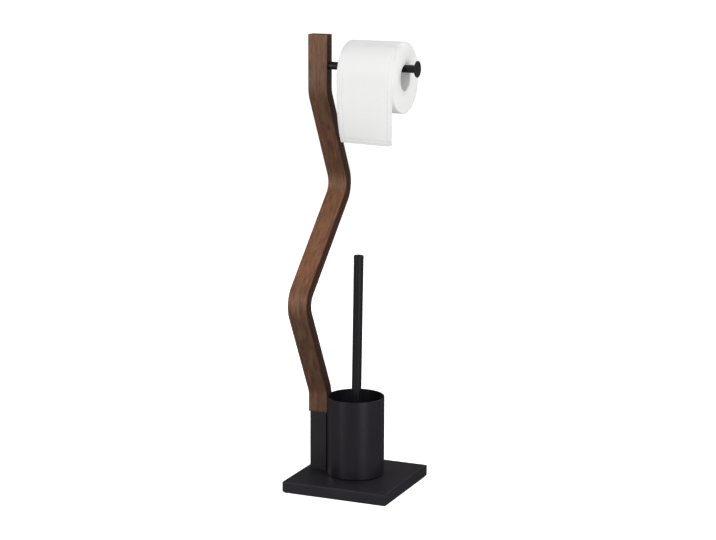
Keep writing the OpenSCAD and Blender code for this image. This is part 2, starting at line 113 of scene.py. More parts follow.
def paintNode(name, material):
    for slot in cadNodes[name].material_slots:
        slot.material = material


# Camera: matched to the photograph by its straight edges, the cup's rim and the roll's circles
view = {"place": (1.28564, -2.98184, 1.02122), "azimuth": 23.273, "down": 11.192, "roll": 0.179,
        "lens": 98.03, "sensor": 36.0, "clipEnd": 200}

cameraData = bpy.data.cameras.new("productCamera")
cameraData.lens = view["lens"]
cameraData.sensor_width = view["sensor"]
cameraData.clip_end = view["clipEnd"]
camera = bpy.data.objects.new("productCamera", cameraData)
bpy.context.scene.collection.objects.link(camera)
aim = Euler((math.radians(90 - view["down"]), 0, math.radians(view["azimuth"]))).to_matrix().to_4x4()
tilt = Matrix.Rotation(math.radians(view["roll"]), 4, "Z")
camera.matrix_world = Matrix.Translation(view["place"]) @ aim @ tilt
bpy.context.scene.camera = camera
bpy.context.scene.view_settings.view_transform = "Standard"
print("camera set")


# Black polyester powder coat, sprayed and baked on steel: satin, with a faint orange peel. It lies
# smoothest on the drawn cup, which shows soft bands of light. The thin rods take a darker and a little
# smoother copy of the same coat: painted shade
coat = {"base": {"colour": "#1a171e", "patch": "#201c24", "roughness": 0.46},
        "cup": {"colour": "#17141b", "patch": "#1c1921", "roughness": 0.33},
        "rod": {"colour": "#0e0d10", "patch": "#131115", "roughness": 0.4},
        "glossSpread": 0.05, "specular": 0.27, "peelMm": 1.1, "peelDepthMm": 0.035, "peelStrength": 0.6,
        "grainMm": 0.45, "patchMm": 60.0}


def powderCoat(name, finish):
    material, tree, shader = newMaterial(name, finish["colour"])
    place = addNode(tree, "ShaderNodeTexCoord").outputs["Object"]
    patches = addNode(tree, "ShaderNodeTexNoise", None,
                      {"Scale": 1 / (coat["patchMm"] * mm), "Detail": 3.0}, {"Vector": place})
    grain = addNode(tree, "ShaderNodeTexNoise", None,
                    {"Scale": 1 / (coat["grainMm"] * mm), "Detail": 2.0}, {"Vector": place})
    peel = addNode(tree, "ShaderNodeTexNoise", None,
                   {"Scale": 1 / (coat["peelMm"] * mm), "Detail": 1.0}, {"Vector": place})
    stops = [(0.35, finish["colour"]), (0.65, finish["patch"])]
    tone = addNode(tree, "ShaderNodeValToRGB", {"stops": stops}, None, {"Fac": patches.outputs["Fac"]})
    gloss = addNode(tree, "ShaderNodeMapRange", None,
                    {"From Min": 0.3, "From Max": 0.7, "To Min": finish["roughness"] - coat["glossSpread"],
                     "To Max": finish["roughness"] + coat["glossSpread"]}, {"Value": grain.outputs["Fac"]})
    bump = addNode(tree, "ShaderNodeBump", None,
                   {"Strength": coat["peelStrength"], "Distance": coat["peelDepthMm"] * mm},
                   {"Height": peel.outputs["Fac"]})
    tree.links.new(tone.outputs["Color"], shader.inputs["Base Color"])
    tree.links.new(gloss.outputs["Result"], shader.inputs["Roughness"])
    tree.links.new(bump.outputs["Normal"], shader.inputs["Normal"])
    shader.inputs["Specular IOR Level"].default_value = coat["specular"]
    return material


blackCoat = powderCoat("blackPowderCoatedSteel", coat["base"])
cupCoat = powderCoat("cupPowderCoatedSteel", coat["cup"])
rodShadedCoat = powderCoat("rodPowderCoatShaded", coat["rod"])
for name in ("base_cover", "post_sleeve", "arm_end_disc"):
    paintNode(name, blackCoat)
# The arm and the handle take the darker copy of the coat: painted shade
for name in ("roll_arm", "handle_tube", "handle_cap"):
    paintNode(name, rodShadedCoat)
paintNode("cup_shell", cupCoat)
print("powder coat done")


# Plain metals of the hidden pieces: the dull coarse skin of a sand casting, the even pale sheen of
# zinc plate, and the warm gloss of turned brass
glossSpread = 0.12
metals = {
    "castIron": {"colour": "#4a4b4d", "roughness": 0.72, "metallic": 0.9, "markMm": 2.0, "depthMm": 0.12,
                 "nodes": ["base_weight"]},
    "zincPlatedSteel": {"colour": "#a9abad", "roughness": 0.36, "metallic": 1.0, "markMm": 0.6,
                        "depthMm": 0.01,
                        "nodes": ["sleeve_plug", "post_bolts", "post_washers", "arm_stud", "cup_stud",
                                  "cup_washer", "cup_nut", "handle_stud"]},
    "turnedBrass": {"colour": "#b9924a", "roughness": 0.3, "metallic": 1.0, "markMm": 0.4, "depthMm": 0.01,
                    "nodes": ["arm_insert"]},
}
for name, look in metals.items():
    material, tree, shader = newMaterial(name, look["colour"])
    place = addNode(tree, "ShaderNodeTexCoord").outputs["Object"]
    marks = addNode(tree, "ShaderNodeTexNoise", None, {"Scale": 1 / (look["markMm"] * mm), "Detail": 5.0},
                    {"Vector": place})
    gloss = addNode(tree, "ShaderNodeMapRange", None,
                    {"To Min": look["roughness"] - glossSpread, "To Max": look["roughness"] + glossSpread},
                    {"Value": marks.outputs["Fac"]})
    bump = addNode(tree, "ShaderNodeBump", None, {"Distance": look["depthMm"] * mm},
                   {"Height": marks.outputs["Fac"]})
    tree.links.new(gloss.outputs["Result"], shader.inputs["Roughness"])
    tree.links.new(bump.outputs["Normal"], shader.inputs["Normal"])
    shader.inputs["Base Color"].default_value = linear(look["colour"])
    shader.inputs["Metallic"].default_value = look["metallic"]
    for node in look["nodes"]:
        paintNode(node, material)

# The pad is moulded rubber, dead matt with a coarse skin; the head of the brush is injection moulded
# polypropylene, which has a slight sheen
plastics = {
    "mouldedRubber": {"colour": "#1c1c1d", "roughness": 0.85, "markMm": 1.2, "depthMm": 0.08,
                      "node": "base_pad"},
    "mouldedPolypropylene": {"colour": "#1d1d20", "roughness": 0.5, "markMm": 0.8, "depthMm": 0.03,
                             "node": "brush_head"},
}
for name, look in plastics.items():
    material, tree, shader = newMaterial(name, look["colour"])
    place = addNode(tree, "ShaderNodeTexCoord").outputs["Object"]
    marks = addNode(tree, "ShaderNodeTexNoise", None, {"Scale": 1 / (look["markMm"] * mm), "Detail": 4.0},
                    {"Vector": place})
    bump = addNode(tree, "ShaderNodeBump", None, {"Distance": look["depthMm"] * mm},
                   {"Height": marks.outputs["Fac"]})
    tree.links.new(bump.outputs["Normal"], shader.inputs["Normal"])
    shader.inputs["Base Color"].default_value = linear(look["colour"])
    shader.inputs["Roughness"].default_value = look["roughness"]
    paintNode(look["node"], material)
print("hidden metals and plastics done")


# Walnut, bent from glued veneers and oiled: open grain runs along every bend, and the sides show the
# edges of the leaves, darker than the faces. Painted light makes the upward-facing middle slope paler,
# and painted shade makes the downward-facing slopes and the foot darker.
# Real leaves are about 1.5 mm thick and pores 0.2 mm wide; both are drawn coarser here, to show.
# Figure, streak, hue and pore: width and length in millimetres, detail, distortion
walnut = {"tones": [(0.2, "#3f281d"), (0.42, "#5f402e"), (0.5, "#704b37"), (0.62, "#875a41"),
                    (0.8, "#946549")],
          "olive": "#6e5738", "oliveShare": 0.5, "oliveSpan": (0.47, 0.66),
          "russet": "#7c4a33", "russetShare": 0.4, "russetSpan": (0.32, 0.46),
          "sideShade": "#948a86", "edge": "#40261a", "edgeShare": 0.5, "leafTones": (0.7, 1.5),
          "glueLine": "#24150f", "glueShare": 0.6, "glueSpan": (0.03, 0.16),
          "endGrain": "#20130c", "endShare": 0.85,
          "figure": (8.0, 50.0, 3.0, 1.6), "streak": (3.0, 22.0, 4.0, 0.6), "streakShare": 0.45,
          "hue": (13.0, 70.0, 2.0, 0.8), "pore": (0.55, 9.0, 1.0, 0.0), "poreShare": 0.45,
          "poreSpan": (0.3, 0.42), "poreDepthMm": 0.12, "bumpStrength": 0.5,
          "layerMm": 2.4, "leafShift": 10.22, "throughShare": 0.4,
          "sideFadeMm": (0.7, 0.1), "roughness": 0.5, "glossSpread": 0.1, "specular": 0.27,
          "endSpecular": 0.04, "contrast": 0.95}


def walnutMaterial(name, endGrain):
    material, tree, shader = newMaterial(name, walnut["tones"][2][1])
    grain = addNode(tree, "ShaderNodeAttribute", {"attribute_name": "grain"}).outputs["Vector"]
    paleness = addNode(tree, "ShaderNodeAttribute", {"attribute_name": "paleness"}).outputs["Fac"]
    parts = addNode(tree, "ShaderNodeSeparateXYZ", None, None, {"Vector": grain})
    layer = addNode(tree, "ShaderNodeMath", {"operation": "MULTIPLY"},
                    {1: 1 / (walnut["layerMm"] * mm)}, {0: parts.outputs["Y"]})
    layerNumber = addNode(tree, "ShaderNodeMath", {"operation": "FLOOR"}, None, {0: layer.outputs[0]})
    # Each layer is another leaf of veneer, so its figure starts elsewhere
    shift = addNode(tree, "ShaderNodeMath", {"operation": "MULTIPLY"}, {1: walnut["leafShift"]},
                    {0: layerNumber.outputs[0]})
    away = addNode(tree, "ShaderNodeCombineXYZ", None, None, {"X": shift.outputs[0]})

    # Noise drawn out along the grain
    def stretched(widthMm, lengthMm, detail, distortion):
        scales = (1 / (widthMm * mm), walnut["throughShare"] / (widthMm * mm), 1 / (lengthMm * mm))
        scaled = addNode(tree, "ShaderNodeMapping", None, {"Scale": scales}, {"Vector": grain})
        moved = addNode(tree, "ShaderNodeVectorMath", {"operation": "ADD"}, None,
                        {0: scaled.outputs["Vector"], 1: away.outputs["Vector"]})
        return addNode(tree, "ShaderNodeTexNoise", None,
                       {"Scale": 1.0, "Detail": detail, "Distortion": distortion},
                       {"Vector": moved.outputs["Vector"]})

    # Goes from one value to the other while the noise crosses the span
    def masked(noise, span, start, end):
        return addNode(tree, "ShaderNodeMapRange", None,
                       {"From Min": span[0], "From Max": span[1], "To Min": start, "To Max": end},
                       {"Value": noise})

    figure, streak = stretched(*walnut["figure"]), stretched(*walnut["streak"])
    hue, pores = stretched(*walnut["hue"]), stretched(*walnut["pore"])
    blend = addNode(tree, "ShaderNodeMix", {"data_type": "FLOAT"}, {"Factor": walnut["streakShare"]},
                    {"A": figure.outputs["Fac"], "B": streak.outputs["Fac"]})
    drawn = addNode(tree, "ShaderNodeMath", {"operation": "MULTIPLY_ADD"},
                    {1: walnut["contrast"], 2: 0.5 - 0.5 * walnut["contrast"]},
                    {0: blend.outputs["Result"]})
    # Painted light and shade: paler on the upward-facing slope, darker on the downward-facing slopes and
    # the foot
    place = addNode(tree, "ShaderNodeMath", {"operation": "ADD"}, None, {0: drawn.outputs[0], 1: paleness})
    face = addNode(tree, "ShaderNodeValToRGB", {"stops": walnut["tones"]}, None,
                   {"Fac": place.outputs[0]})
    oliveMask = masked(hue.outputs["Fac"], walnut["oliveSpan"], 0.0, walnut["oliveShare"])
    olive = addNode(tree, "ShaderNodeMix", {"data_type": "RGBA"}, {"B": linear(walnut["olive"])},
                    {"Factor": oliveMask.outputs["Result"], "A": face.outputs["Color"]})
    russetMask = masked(hue.outputs["Fac"], walnut["russetSpan"], walnut["russetShare"], 0.0)
    tinted = addNode(tree, "ShaderNodeMix", {"data_type": "RGBA"}, {"B": linear(walnut["russet"])},
                     {"Factor": russetMask.outputs["Result"], "A": olive.outputs["Result"]})
    poreMask = masked(pores.outputs["Fac"], walnut["poreSpan"], walnut["poreShare"], 0.0)
    pored = addNode(tree, "ShaderNodeMix", {"data_type": "RGBA"}, {"B": linear(walnut["tones"][0][1])},
                    {"Factor": poreMask.outputs["Result"], "A": tinted.outputs["Result"]})

    # The sides: thin dark glue lines between the leaves, and each leaf paler or darker than the next
    along = addNode(tree, "ShaderNodeMath", {"operation": "PINGPONG"}, {1: 0.5}, {0: layer.outputs[0]})
    glue = masked(along.outputs[0], walnut["glueSpan"], walnut["glueShare"], 0.0)
    shaded = addNode(tree, "ShaderNodeMix", {"data_type": "RGBA", "blend_type": "MULTIPLY"},
                     {"Factor": 1.0, "B": linear(walnut["sideShade"])}, {"A": pored.outputs["Result"]})
    edgeTone = addNode(tree, "ShaderNodeMix", {"data_type": "RGBA"},
                       {"Factor": walnut["edgeShare"], "B": linear(walnut["edge"])},
                       {"A": shaded.outputs["Result"]})
    leaf = addNode(tree, "ShaderNodeTexWhiteNoise", {"noise_dimensions": "1D"}, None,
                   {"W": layerNumber.outputs[0]})
    leafTone = masked(leaf.outputs["Value"], (0.0, 1.0), *walnut["leafTones"])
    leaves = addNode(tree, "ShaderNodeVectorMath", {"operation": "SCALE"}, None,
                     {0: edgeTone.outputs["Result"], "Scale": leafTone.outputs["Result"]})
    edge = addNode(tree, "ShaderNodeMix", {"data_type": "RGBA"}, {"B": linear(walnut["glueLine"])},
                   {"Factor": glue.outputs["Result"], "A": leaves.outputs["Vector"]})
    across = addNode(tree, "ShaderNodeMath", {"operation": "ABSOLUTE"}, None, {0: parts.outputs["X"]})
    start, end = [(post["width"] / 2 - inset) * mm for inset in walnut["sideFadeMm"]]
    sideMask = addNode(tree, "ShaderNodeMapRange", {"interpolation_type": "SMOOTHSTEP"},
                       {"From Min": start, "From Max": end}, {"Value": across.outputs[0]})
    finish = addNode(tree, "ShaderNodeMix", {"data_type": "RGBA"}, None,
                     {"Factor": sideMask.outputs["Result"], "A": pored.outputs["Result"],
                      "B": edge.outputs["Result"]})
    if endGrain:
        finish = addNode(tree, "ShaderNodeMix", {"data_type": "RGBA"},
                         {"Factor": walnut["endShare"], "B": linear(walnut["endGrain"])},
                         {"A": edge.outputs["Result"]})
    height = addNode(tree, "ShaderNodeMath", {"operation": "MULTIPLY_ADD"}, {1: -1.0, 2: 1.0},
                     {0: poreMask.outputs["Result"]})
    bump = addNode(tree, "ShaderNodeBump", None,
                   {"Strength": walnut["bumpStrength"], "Distance": walnut["poreDepthMm"] * mm},
                   {"Height": height.outputs[0]})
    gloss = masked(streak.outputs["Fac"], (0.0, 1.0), walnut["roughness"] - walnut["glossSpread"],
                   walnut["roughness"] + walnut["glossSpread"])
    tree.links.new(finish.outputs["Result"], shader.inputs["Base Color"])
    tree.links.new(gloss.outputs["Result"], shader.inputs["Roughness"])
    tree.links.new(bump.outputs["Normal"], shader.inputs["Normal"])
    # Sawn end grain is open, so it swallows the light that the oiled faces throw back
    shader.inputs["Specular IOR Level"].default_value = walnut["endSpecular" if endGrain else "specular"]
    return material


# The post repeats the imported post's axis and section, in millimetres. Its painted light and shade is
# given at lengths from the foot of the wood: painted light on the upward-facing middle slope, painted
# shade on the downward-facing slopes and at the foot
post = {"centre": -67.4, "width": 35.0, "thickness": 20.0, "ease": 0.75, "topEase": 0.75,
        "bendRadius": 35.0,
        "axis": [(0, 124.5), (0, 161.5), (-92.5, 332), (90.5, 508.5), (0, 677.5), (0, 775.5)],
        "tenonFoot": 79.5, "tenonWidth": 28.6, "tenonThickness": 13.6, "tenonEase": 1.0, "tenonRows": 16,
        "paleness": [(0, -0.1), (40, -0.13), (60, -0.19), (185, -0.175), (230, 0.01), (280, 0.06),
                     (440, 0.07), (490, 0.01), (515, -0.15), (640, -0.14), (690, 0.01), (760, 0.02)],
        "stationMm": 3.0, "bendFineness": 1.5, "crownRows": 7, "crownGap": 0.5,
        "cornerSteps": 5, "widthSteps": 12, "thicknessSteps": 6}


# Outline of a rectangle with round corners, as (x, n) pairs, counted anticlockwise
def roundedOutline(width, thickness, radius):
    outline = []
    half = [(width / 2 - radius, thickness / 2 - radius), (-width / 2 + radius, thickness / 2 - radius),
            (-width / 2 + radius, -thickness / 2 + radius), (width / 2 - radius, -thickness / 2 + radius)]
    for quarter, (cx, cy) in enumerate(half):
        for step in range(post["cornerSteps"] + 1):
            angle = math.radians(90 * (quarter + step / post["cornerSteps"]))
            outline.append((cx + radius * math.cos(angle), cy + radius * math.sin(angle)))
        flatSteps = post["widthSteps"] if quarter % 2 == 0 else post["thicknessSteps"]
        ax, ay = outline[-1]
        nx, ny = half[(quarter + 1) % 4]
        turn = math.radians(90 * (quarter + 1))
        bx, by = nx + radius * math.cos(turn), ny + radius * math.sin(turn)
        for step in range(1, flatSteps):
            share = step / flatSteps
            outline.append((ax + (bx - ax) * share, ay + (by - ay) * share))
    return outline


# Stations along the post's axis, each as (y, z, lean, length so far)
def postStations():
    corners = post["axis"]
    leans = [math.atan2(b[0] - a[0], b[1] - a[1]) for a, b in zip(corners, corners[1:])]
    trims = [0] + [post["bendRadius"] * math.tan(abs(b - a) / 2) for a, b in zip(leans, leans[1:])] + [0]
    stations, length = [], 0.0
    for i, lean in enumerate(leans):
        (ay, az), (by, bz) = corners[i], corners[i + 1]
        run = math.hypot(by - ay, bz - az)
        steps = max(2, round((run - trims[i] - trims[i + 1]) / post["stationMm"]))
        last = i == len(leans) - 1
        for step in range(steps + (1 if last else 0)):
            reach = trims[i] + (run - trims[i] - trims[i + 1]) * step / steps
            stations.append((ay + math.sin(lean) * reach, az + math.cos(lean) * reach, lean,
                             length + reach - trims[i]))
        length += run - trims[i] - trims[i + 1]
        if last:
            break
        turn = leans[i + 1] - lean
        side = math.copysign(1, turn)
        footY, footZ = by - trims[i + 1] * math.sin(lean), bz - trims[i + 1] * math.cos(lean)
        middleY = footY + side * post["bendRadius"] * math.cos(lean)
        middleZ = footZ - side * post["bendRadius"] * math.sin(lean)
        arc = post["bendRadius"] * abs(turn)
        steps = max(6, round(arc / post["stationMm"] * post["bendFineness"]))
        for step in range(steps):
            now = lean + turn * step / steps
            stations.append((middleY - side * post["bendRadius"] * math.cos(now),
                             middleZ + side * post["bendRadius"] * math.sin(now), now,
                             length + arc * step / steps))
        length += arc
    return stations, length


def buildPost():
    points, grain = [], []

    def addRing(outline, y, z, lean, length):
        for x, n in outline:
            points.append((post["centre"] + x, y + n * math.cos(lean), z - n * math.sin(lean)))
            grain.append((x, n, length))

    full = roundedOutline(post["width"], post["thickness"], post["ease"])
    tenon = roundedOutline(post["tenonWidth"], post["tenonThickness"], post["tenonEase"])
    shoulder = post["axis"][0][1]
    for step in range(post["tenonRows"]):
        z = post["tenonFoot"] + (shoulder - post["tenonFoot"]) * step / (post["tenonRows"] - 1)
        addRing(tenon, 0, z, 0, z - shoulder)
    stations, length = postStations()
    crown = post["topEase"]
    for y, z, lean, along in stations:
        if along <= length - crown - post["crownGap"]:
            addRing(full, y, z, lean, along)
    top = post["axis"][-1][1]
    for step in range(post["crownRows"]):
        angle = math.radians(90 * step / (post["crownRows"] - 1))
        inset, up = crown * (1 - math.cos(angle)), crown * math.sin(angle)
        ring = roundedOutline(post["width"] - 2 * inset, post["thickness"] - 2 * inset,
                              post["ease"] - inset)
        addRing(ring, 0, top - crown + up, 0, length - crown + up)
    columns = len(full)
    rows = len(points) // columns
    faces = gridFaces(rows, columns)
    faces.append(tuple(reversed(range(columns))))
    faces.append(tuple(range((rows - 1) * columns, rows * columns)))
    piece = meshPiece("bentPost", points, faces, walnutMaterial("oiledWalnutVeneer", False),
                      walnutMaterial("oiledWalnutEndGrain", True))
    for i in (-1, -2):
        piece.data.polygons[i].use_smooth = False
    piece.data.polygons[-1].material_index = 1
    grain = np.array(grain, np.float32)
    attribute = piece.data.attributes.new("grain", "FLOAT_VECTOR", "POINT")
    attribute.data.foreach_set("vector", (grain * mm).ravel())
    # Painted light and shade along the post, by length from the foot of the wood
    lengths, tones = zip(*post["paleness"])
    attribute = piece.data.attributes.new("paleness", "FLOAT", "POINT")
    attribute.data.foreach_set("value", np.interp(grain[:, 2], lengths, tones).astype(np.float32))
    return piece


bentPost = buildPost()
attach(bentPost, "stand")
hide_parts("wood_post")
print("post done")


# Two pan head screws with a cross recess. They take the sleeve's black coat, so that only the light
# on their rounded heads sets them off
screws = {"x": -67.4, "back": 8.5, "heights": (112.5, 92.5), "turns": (12.0, 57.0),
          "headRadius": 3.5, "headHeight": 2.2, "rimShare": 0.3, "rimRound": 0.9,
          "crown": ((0.55, 0.94), (0.25, 1.0)), "poleRadius": 0.05,
          "shankRadius": 1.75, "length": 10.0, "tipRadius": 0.2, "tipLength": 1.5, "taperLength": 3.5,
          "recessWidth": 0.9, "recessLength": 4.2, "recessDepth": 1.3, "aroundSteps": 48}


# Points of a profile of (radius, height) pairs turned round the z axis, closed at both poles
def turned(profile, around):
    points = [(r * math.cos(2 * math.pi * j / around), r * math.sin(2 * math.pi * j / around), h)
              for r, h in profile for j in range(around)]
    faces = gridFaces(len(profile), around)
    faces.append(tuple(reversed(range(around))))
    faces.append(tuple(range((len(profile) - 1) * around, len(profile) * around)))
    return points, faces


def buildScrews():
    head, rise, shank = screws["headRadius"], screws["headHeight"], screws["shankRadius"]
    foot, rim, rounding = -screws["length"], screws["headHeight"] * screws["rimShare"], screws["rimRound"]
    profile = [(screws["tipRadius"], foot), (shank * 0.5, foot + screws["tipLength"]),
               (shank, foot + screws["taperLength"]), (shank, 0), (head, 0), (head, rim)]
    profile += [(head - rounding * (1 - math.cos(a)), rim + rounding * math.sin(a))
                for a in (math.radians(20), math.radians(40), math.radians(60))]
    profile += [(head * across, rise * up) for across, up in screws["crown"]]
    profile += [(screws["poleRadius"], rise)]
    points, faces = turned(profile, screws["aroundSteps"])
    corners = ((-1, -1), (1, -1), (1, 1), (-1, 1))
    cut = [(x * screws["recessLength"] / 2, y * screws["recessWidth"] / 2, z)
           for z in (rise - screws["recessDepth"], rise + 1) for x, y in corners]
    cutFaces = [(3, 2, 1, 0), (4, 5, 6, 7), (0, 1, 5, 4), (1, 2, 6, 5), (2, 3, 7, 6), (3, 0, 4, 7)]
    made = []
    for z, turn in zip(screws["heights"], screws["turns"]):
        screw = meshPiece("screw", points, faces, blackCoat)
        for quarter in (0, 90):
            slotCut = meshPiece("slotCut", cut, cutFaces)
            slotCut.rotation_euler = (0, 0, math.radians(quarter + turn))
            cutter = screw.modifiers.new("recess", "BOOLEAN")
            cutter.object = slotCut
            cutter.solver = "EXACT"
            bpy.context.view_layer.update()
            evaluated = screw.evaluated_get(bpy.context.evaluated_depsgraph_get())
            done = bpy.data.meshes.new_from_object(evaluated)
            screw.modifiers.clear()
            screw.data = done
            bpy.data.objects.remove(slotCut)
        place = Matrix.Translation((screws["x"] * mm, screws["back"] * mm, z * mm))
        screw.data.transform(place @ Matrix.Rotation(math.radians(-90), 4, "X"))
        made.append(screw)
    bpy.ops.object.select_all(action="DESELECT")
    for screw in made:
        screw.select_set(True)
    bpy.context.view_layer.objects.active = made[0]
    bpy.ops.object.join()
    made[0].name = "tenonScrews"
    return made[0]


tenonScrews = buildScrews()
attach(tenonScrews, "stand")
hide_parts("tenon_screws")
print("screws done")


# Tissue: soft creped paper, white and dead matt. Wound thick it scatters light inside itself, so that
# the roll's shaded side stays pale. Real creping is about 0.3 mm; it is drawn at 1.1 mm here, to show
tissue = {"colour": "#f4f4f3", "shade": "#ededec", "crimpGreyAndShade": "#e6e6e6", "roughness": 0.95,
          "specular": 0.2, "crepeMm": 1.1, "crepeLengthMm": 9.0, "fibreMm": 0.7, "depthMm": 0.06,
          "bumpStrength": 0.5, "scatterMm": 14.0, "woundScatter": 0.7, "looseScatter": 0.0}


def tissueMaterial(name, scatter):
    material, tree, shader = newMaterial(name, tissue["colour"])
    place = addNode(tree, "ShaderNodeTexCoord").outputs["Object"]
    crepe = addNode(tree, "ShaderNodeMapping", None,
                    {"Scale": (1 / (tissue["crepeLengthMm"] * mm), 1 / (tissue["crepeMm"] * mm),
                               1 / (tissue["crepeMm"] * mm))}, {"Vector": place})
    ridges = addNode(tree, "ShaderNodeTexNoise", None, {"Scale": 1.0, "Detail": 3.0},
                     {"Vector": crepe.outputs["Vector"]})
    fibres = addNode(tree, "ShaderNodeTexNoise", None,
                     {"Scale": 1 / (tissue["fibreMm"] * mm), "Detail": 4.0}, {"Vector": place})
    height = addNode(tree, "ShaderNodeMath", {"operation": "ADD"}, None,
                     {0: ridges.outputs["Fac"], 1: fibres.outputs["Fac"]})
    stops = [(0.3, tissue["shade"]), (0.7, tissue["colour"])]
    tone = addNode(tree, "ShaderNodeValToRGB", {"stops": stops}, None, {"Fac": fibres.outputs["Fac"]})
    # Where the plies are pressed together they are a little greyer, and the grey is also painted shade
    # for the grooves of the pressed lines; only the loose sheet has such lines
    crimp = addNode(tree, "ShaderNodeAttribute", {"attribute_name": "crimp"}).outputs["Fac"]
    crimpGreyAndShadeMix = addNode(tree, "ShaderNodeMix", {"data_type": "RGBA"}, {"B": linear(tissue["crimpGreyAndShade"])},
                    {"Factor": crimp, "A": tone.outputs["Color"]})
    bump = addNode(tree, "ShaderNodeBump", None,
                   {"Strength": tissue["bumpStrength"], "Distance": tissue["depthMm"] * mm},
                   {"Height": height.outputs[0]})
    tree.links.new(crimpGreyAndShadeMix.outputs["Result"], shader.inputs["Base Color"])
    tree.links.new(bump.outputs["Normal"], shader.inputs["Normal"])
    shader.inputs["Roughness"].default_value = tissue["roughness"]
    shader.inputs["Specular IOR Level"].default_value = tissue["specular"]
    shader.inputs["Subsurface Weight"].default_value = scatter
    shader.inputs["Subsurface Radius"].default_value = (1, 1, 1)
    shader.inputs["Subsurface Scale"].default_value = tissue["scatterMm"] * mm
    return material


woundTissue = tissueMaterial("woundTissuePaper", tissue["woundScatter"])
looseTissue = tissueMaterial("creasedTissueSheet", tissue["looseScatter"])

# The wound roll, in millimetres: a spiral of layers whose edges show at both ends, each of them a
# little further in or out than the next. Real layers are about 0.3 mm apart; 0.9 mm here, to show
rollLow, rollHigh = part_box("roll_paper")
roll = {"left": rollLow.x / mm, "right": rollHigh.x / mm, "axisZ": (rollLow.z + rollHigh.z) / 2 / mm,
        "radius": (rollHigh.z - rollLow.z) / 2 / mm, "bore": 22.85, "layer": 0.9, "perLayer": 4,
        "around": 240, "widthSteps": 40, "edgeSoft": 1.8, "endGap": 0.1, "sink": 0.55, "ridge": 0.16,
        "wander": 0.22, "wanderShare": 0.6, "swell": (0.12, 0.08), "outOfRound": 0.12, "seed": 11}


def buildRoll():
    rng = np.random.default_rng(roll["seed"])
    around = roll["around"]
    theta = np.arange(around) * 2 * math.pi / around
    soft = roll["edgeSoft"]
    outer = roll["radius"] - soft
    radial = np.arange(roll["bore"], outer, roll["layer"] / roll["perLayer"])
    layers = int((roll["radius"] - roll["bore"]) / roll["layer"]) + 3
    offsets = rng.normal(0, roll["wander"], layers)
    offsets = np.convolve(offsets, [0.25, 0.5, 0.25], "same")

    # How far the layers' edges stand in from the flat end
    def sunk(r, seedTurn):
        turnCount = (r - roll["bore"]) / roll["layer"] - theta / (2 * math.pi) + 2
        number = np.clip(np.floor(turnCount).astype(int), 0, layers - 1)
        phase = turnCount - np.floor(turnCount)
        ridge = roll["ridge"] * (0.5 - 0.5 * np.cos(2 * math.pi * phase))
        slow = (roll["swell"][0] * np.sin(3 * theta + r * 0.35 + seedTurn)
                + roll["swell"][1] * np.sin(7 * theta - r * 0.8))
        return roll["sink"] + np.abs(offsets[number]) * roll["wanderShare"] + slow - ridge

    rows = []

    def row(radius, x):
        radius, x = np.broadcast_to(radius, theta.shape), np.broadcast_to(x, theta.shape)
        rows.append(np.stack([x, radius * np.cos(theta), radius * np.sin(theta)], 1))

    gap = roll["endGap"]
    for r in radial:
        row(r, roll["left"] + sunk(r, 0.0))
    for angle in np.radians((0, 22.5, 45, 67.5)):
        row(outer + soft * math.sin(angle), roll["left"] + gap + soft * (1 - math.cos(angle)))
    for share in np.linspace(0, 1, roll["widthSteps"]):
        x = roll["left"] + soft + gap + (roll["right"] - roll["left"] - 2 * soft - 2 * gap) * share
        wave = 0.5 * np.sin(2 * theta + 0.6) + 0.3 * np.sin(5 * theta + 4 * share) - 0.8
        row(roll["radius"] + roll["outOfRound"] * wave * math.sin(math.pi * share), x)
    for angle in np.radians((67.5, 45, 22.5, 0)):
        row(outer + soft * math.sin(angle), roll["right"] - gap - soft * (1 - math.cos(angle)))
    for r in radial[::-1]:
        row(r, roll["right"] - sunk(r, 2.0))
    points = np.concatenate(rows)
    points[:, 2] += roll["axisZ"]
    faces = [tuple(reversed(face)) for face in loopFaces(len(rows), around)]
    return meshPiece("woundRoll", points, faces, woundTissue)


woundRoll = buildRoll()
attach(woundRoll, "roll")
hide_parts("roll_paper")
print("roll done")


# Pale grey cardboard core, matt and flecked with fibres, wound from strips that leave a spiral seam.
# The colour is paler than the board looks, because little light gets into the tube
core = {"inner": 21.75, "outer": 22.75, "around": 120, "along": 80, "seamPitch": 68.0, "seamDepth": 0.18,
        "seamWidth": 1.4, "fibreMm": 1.3, "bumpStrength": 0.4, "depthMm": 0.05, "roughness": 0.9,
        "colour": "#f3f3f2", "fleck": "#e4e3e2"}


